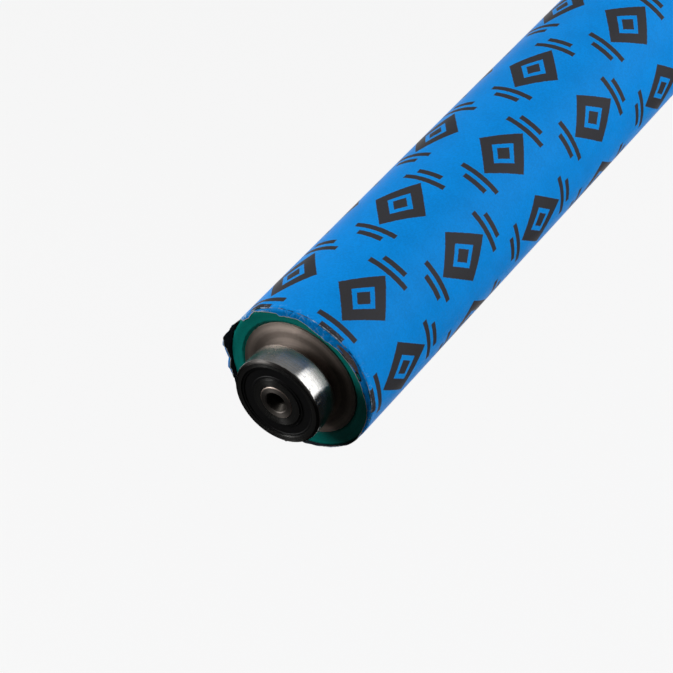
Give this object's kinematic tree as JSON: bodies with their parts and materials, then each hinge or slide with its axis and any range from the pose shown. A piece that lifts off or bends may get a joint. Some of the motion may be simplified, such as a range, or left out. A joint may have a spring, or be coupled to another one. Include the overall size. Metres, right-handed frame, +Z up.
{
  "type": "water pan roller",
  "caption": "Long rubber-covered steel roller in a paper wrap folded in over its ends, with a journal and a sealed ball bearing at each end.",
  "frame": {"origin": "middle of the roller, on its axis", "axes": "+Y along the roller's axis, from the front bearing to the rear one; +Z up; X across"},
  "size_m": [0.0542, 0.5578, 0.0542],
  "materials": {
    "turned_steel": "turned, satin",
    "bearing_steel": "ground, satin",
    "ball_steel": "polished",
    "cage_steel": "pressed sheet",
    "teal_rubber": "ground, matt",
    "seal_rubber": "moulded, satin",
    "wrapping_paper": "coated paper, satin"
  },
  "bodies": {
    "front_race": {"front_outer_ring": "bearing_steel", "front_seal_inboard": "seal_rubber", "front_seal_outboard": "seal_rubber"},
    "roller": {"core": "turned_steel", "rubber_cover": "teal_rubber", "paper_wrap": "wrapping_paper", "front_inner_ring": "bearing_steel", "rear_inner_ring": "bearing_steel"},
    "front_cage": {"front_ball_1": "ball_steel", "front_ball_2": "ball_steel", "front_ball_3": "ball_steel", "front_ball_4": "ball_steel", "front_ball_5": "ball_steel", "front_ball_6": "ball_steel", "front_ball_7": "ball_steel", "front_cage_inboard": "cage_steel", "front_cage_outboard": "cage_steel", "front_cage_rivets": "cage_steel"},
    "rear_race": {"rear_outer_ring": "bearing_steel", "rear_seal_inboard": "seal_rubber", "rear_seal_outboard": "seal_rubber"},
    "rear_cage": {"rear_ball_1": "ball_steel", "rear_ball_2": "ball_steel", "rear_ball_3": "ball_steel", "rear_ball_4": "ball_steel", "rear_ball_5": "ball_steel", "rear_ball_6": "ball_steel", "rear_ball_7": "ball_steel", "rear_cage_inboard": "cage_steel", "rear_cage_outboard": "cage_steel", "rear_cage_rivets": "cage_steel"}
  },
  "joints": [
    {"name": "roller_turn", "type": "hinge", "parent": "front_race", "child": "roller", "pos_m": [0, -0.2737, 0], "axis": [0, 1, 0], "continuous": true},
    {"name": "front_cage_turn", "type": "hinge", "parent": "front_race", "child": "front_cage", "pos_m": [0, -0.2737, 0], "axis": [0, 1, 0], "continuous": true},
    {"name": "rear_race_turn", "type": "hinge", "parent": "roller", "child": "rear_race", "pos_m": [0, 0.2737, 0], "axis": [0, 1, 0], "continuous": true},
    {"name": "rear_cage_turn", "type": "hinge", "parent": "roller", "child": "rear_cage", "pos_m": [0, 0.2737, 0], "axis": [0, 1, 0], "continuous": true}
  ],
  "couplings": [
    {"joint": "front_cage_turn", "follows": "roller_turn", "ratio": 0.3659},
    {"joint": "rear_cage_turn", "follows": "rear_race_turn", "ratio": 0.6341}
  ]
}
